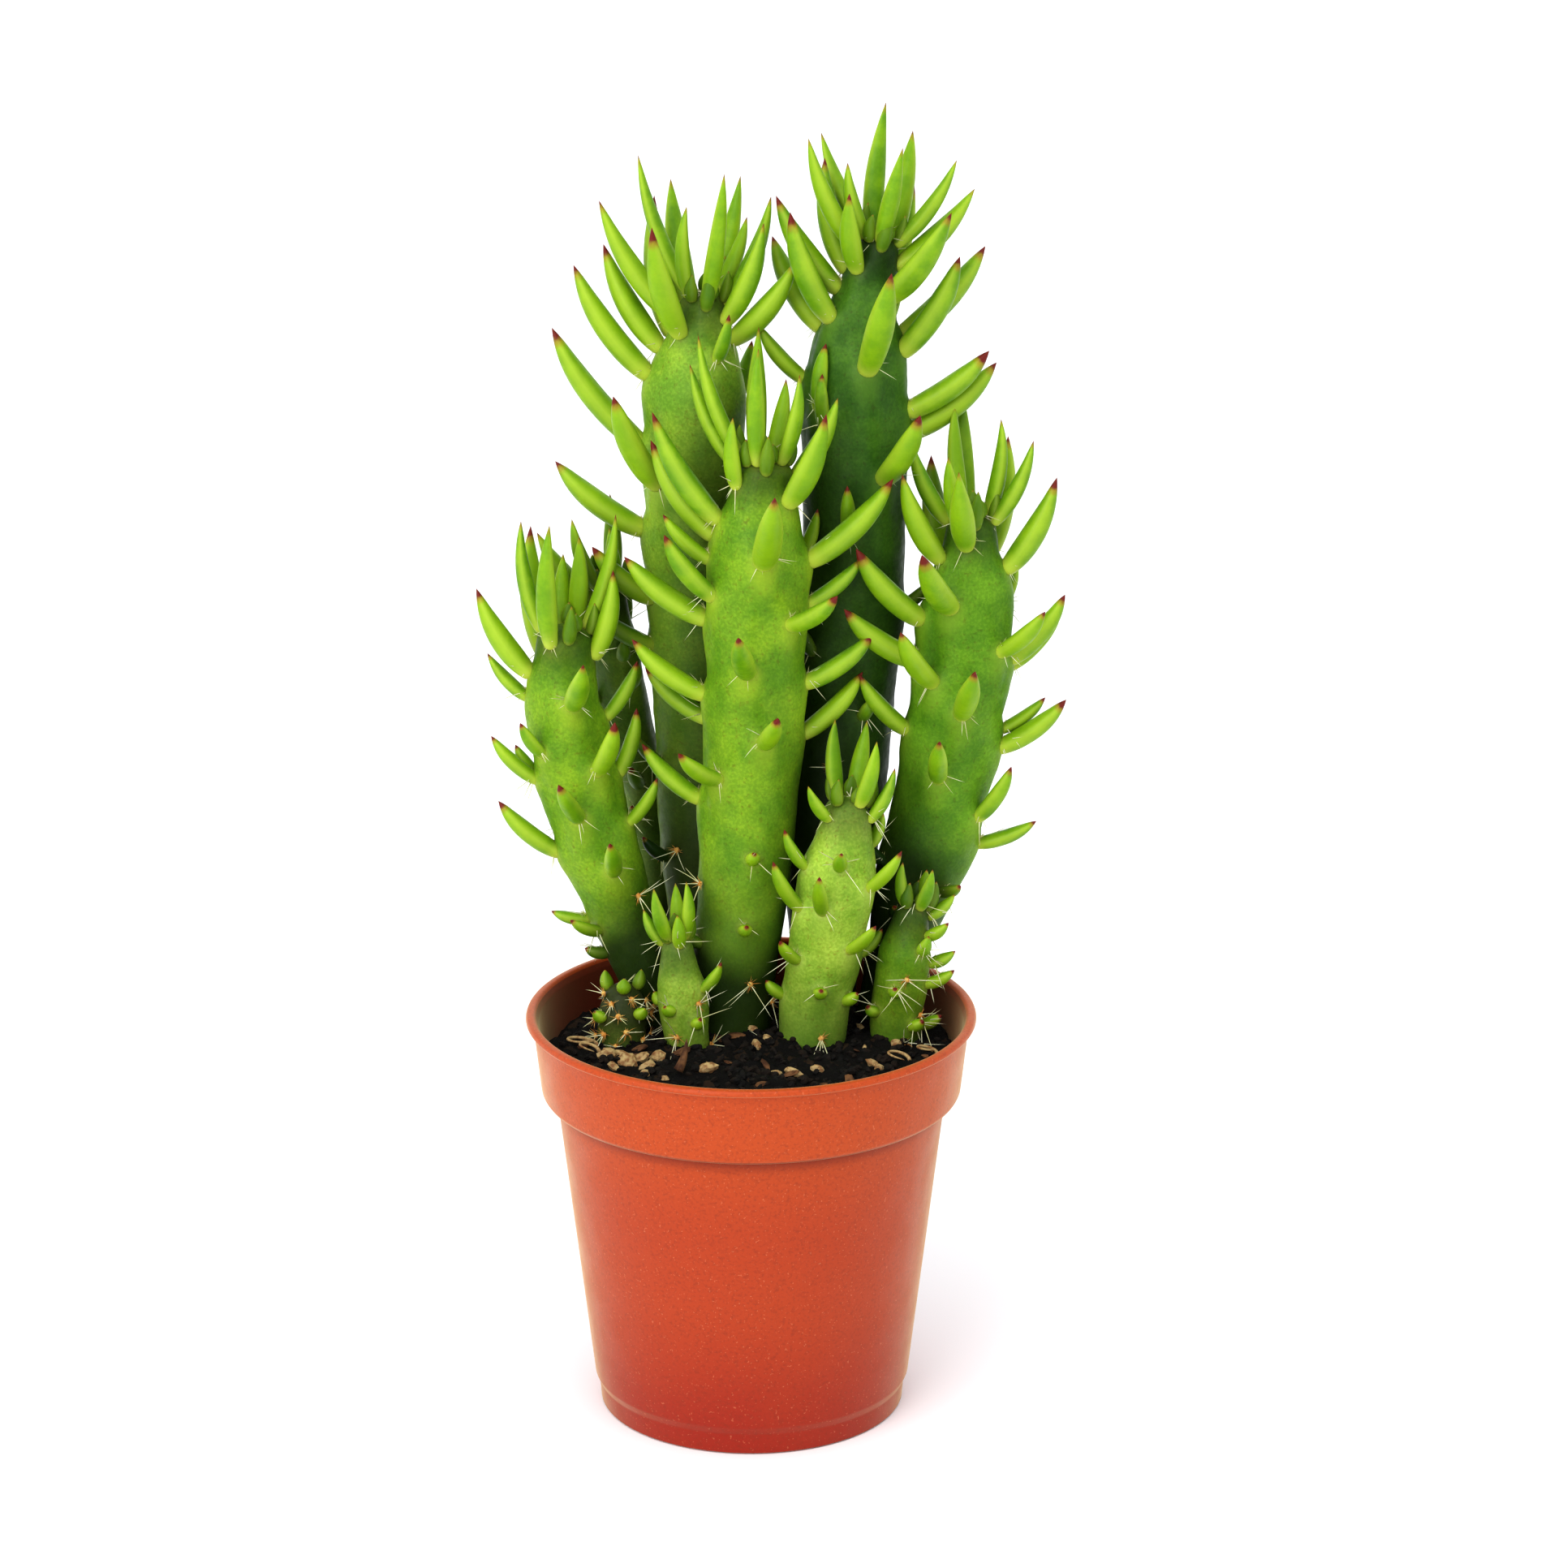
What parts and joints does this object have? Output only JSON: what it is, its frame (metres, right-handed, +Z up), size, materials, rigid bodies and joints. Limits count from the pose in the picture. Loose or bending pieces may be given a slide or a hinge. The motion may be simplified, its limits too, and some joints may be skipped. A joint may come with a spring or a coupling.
{
  "type": "potted cactus",
  "caption": "Clump of tall smooth green cactus stems with awl-shaped fleshy leaves, growing in soil in a round tapered plastic nursery pot with a rolled lip.",
  "frame": {"origin": "centre of the pot's underside, on the pot's axis", "axes": "+Z up along the pot's axis, -Y towards the front of the clump where the young shoots stand"},
  "size_m": [0.1099, 0.088, 0.244],
  "materials": {
    "pot": "satin moulded terracotta-coloured plastic",
    "soil": "moist dark peat with bark chips",
    "stem": "smooth waxy green skin",
    "leaf": "smooth yellow-green fleshy leaf with a dark red tip"
  },
  "bodies": {
    "root": {"pot": "pot", "soil": "soil", "back_left": "stem", "back_right": "stem", "front_centre": "stem", "front_pup_left": "stem", "front_pup_right": "stem", "inner_left": "stem", "left": "stem", "low_pup": "stem", "right": "stem", "side_pup_right": "stem", "back_left_leaf_1": "leaf", "back_left_leaf_2": "leaf", "back_left_leaf_3": "leaf", "back_left_leaf_4": "leaf", "back_left_leaf_5": "leaf", "back_left_leaf_6": "leaf", "back_left_leaf_7": "leaf", "back_left_leaf_8": "leaf", "back_left_leaf_9": "leaf", "back_left_leaf_10": "leaf", "back_right_leaf_1": "leaf", "back_right_leaf_2": "leaf", "back_right_leaf_3": "leaf", "back_right_leaf_4": "leaf", "back_right_leaf_5": "leaf", "back_right_leaf_6": "leaf", "back_right_leaf_7": "leaf", "back_right_leaf_8": "leaf", "back_right_leaf_9": "leaf", "back_right_leaf_10": "leaf", "back_right_leaf_11": "leaf", "back_right_leaf_12": "leaf", "front_centre_leaf_1": "leaf", "front_centre_leaf_2": "leaf", "front_centre_leaf_3": "leaf", "front_centre_leaf_4": "leaf", "front_centre_leaf_5": "leaf", "front_centre_leaf_6": "leaf", "front_centre_leaf_7": "leaf", "front_centre_leaf_8": "leaf", "front_centre_leaf_9": "leaf", "front_centre_leaf_10": "leaf", "front_centre_leaf_11": "leaf", "front_centre_leaf_12": "leaf", "left_leaf_1": "leaf", "left_leaf_2": "leaf", "left_leaf_3": "leaf", "left_leaf_4": "leaf", "left_leaf_5": "leaf", "right_leaf_1": "leaf", "right_leaf_2": "leaf", "right_leaf_3": "leaf", "right_leaf_4": "leaf", "right_leaf_5": "leaf", "right_leaf_6": "leaf", "right_leaf_7": "leaf", "right_leaf_8": "leaf", "right_leaf_9": "leaf"}
  },
  "joints": []
}
